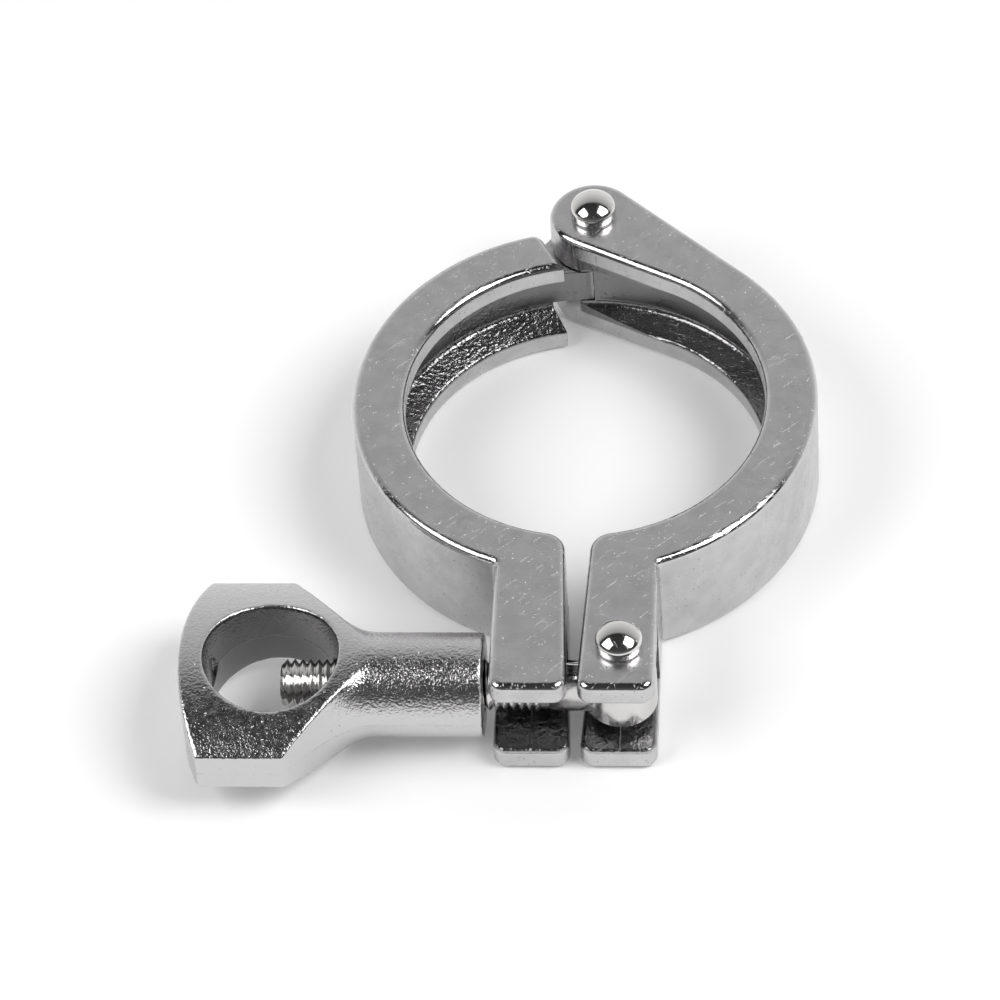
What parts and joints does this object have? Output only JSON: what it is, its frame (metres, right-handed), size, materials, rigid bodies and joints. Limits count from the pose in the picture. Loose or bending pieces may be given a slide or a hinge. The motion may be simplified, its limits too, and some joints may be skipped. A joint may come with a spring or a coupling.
{
  "type": "sanitary hinged clamp",
  "caption": "Stainless hinged clamp for sanitary tube ferrules: V-grooved half rings on a rivet hinge, closed by a swing bolt and a wing nut with a finger hole.",
  "frame": {"origin": "on the bore axis, in the middle plane of the clamp, where the gasket of the gripped joint lies", "axes": "+Z along the bore axis, out of the face with the rivet heads; +Y to the hinge; -Y to the lugs and swing bolt; -X to the wing nut"},
  "size_m": [0.0992, 0.1178, 0.0237],
  "materials": {
    "cast_stainless": "investment cast stainless steel, tumbled to a satin sheen",
    "polished_pin": "turned stainless steel, polished",
    "bolt_steel": "stainless steel, rolled thread",
    "nut_stainless": "investment cast stainless steel with a fine cast grain"
  },
  "bodies": {
    "right_half": {"right_half": "cast_stainless", "hinge_pin": "polished_pin", "bolt_pin": "polished_pin"},
    "left_half": {"left_half": "cast_stainless"},
    "swing_bolt": {"swing_bolt": "bolt_steel"},
    "wing_nut": {"wing_nut": "nut_stainless"}
  },
  "joints": [
    {"name": "clamp_open", "type": "hinge", "parent": "right_half", "child": "left_half", "pos_m": [0, 0.0406, 0], "axis": [0, 0, -1], "range_deg": [0, 140]},
    {"name": "bolt_swing", "type": "hinge", "parent": "right_half", "child": "swing_bolt", "pos_m": [0.0072, -0.052, 0], "axis": [0, 0, 1], "range_deg": [0, 200]},
    {"name": "nut_travel", "type": "slide", "parent": "swing_bolt", "child": "wing_nut", "axis": [-1, 0, 0], "range_m": [0, 0.027]}
  ],
  "couplings": [
    {"joint": "clamp_open", "follows": "nut_travel", "rad_per_m": 9.8}
  ]
}
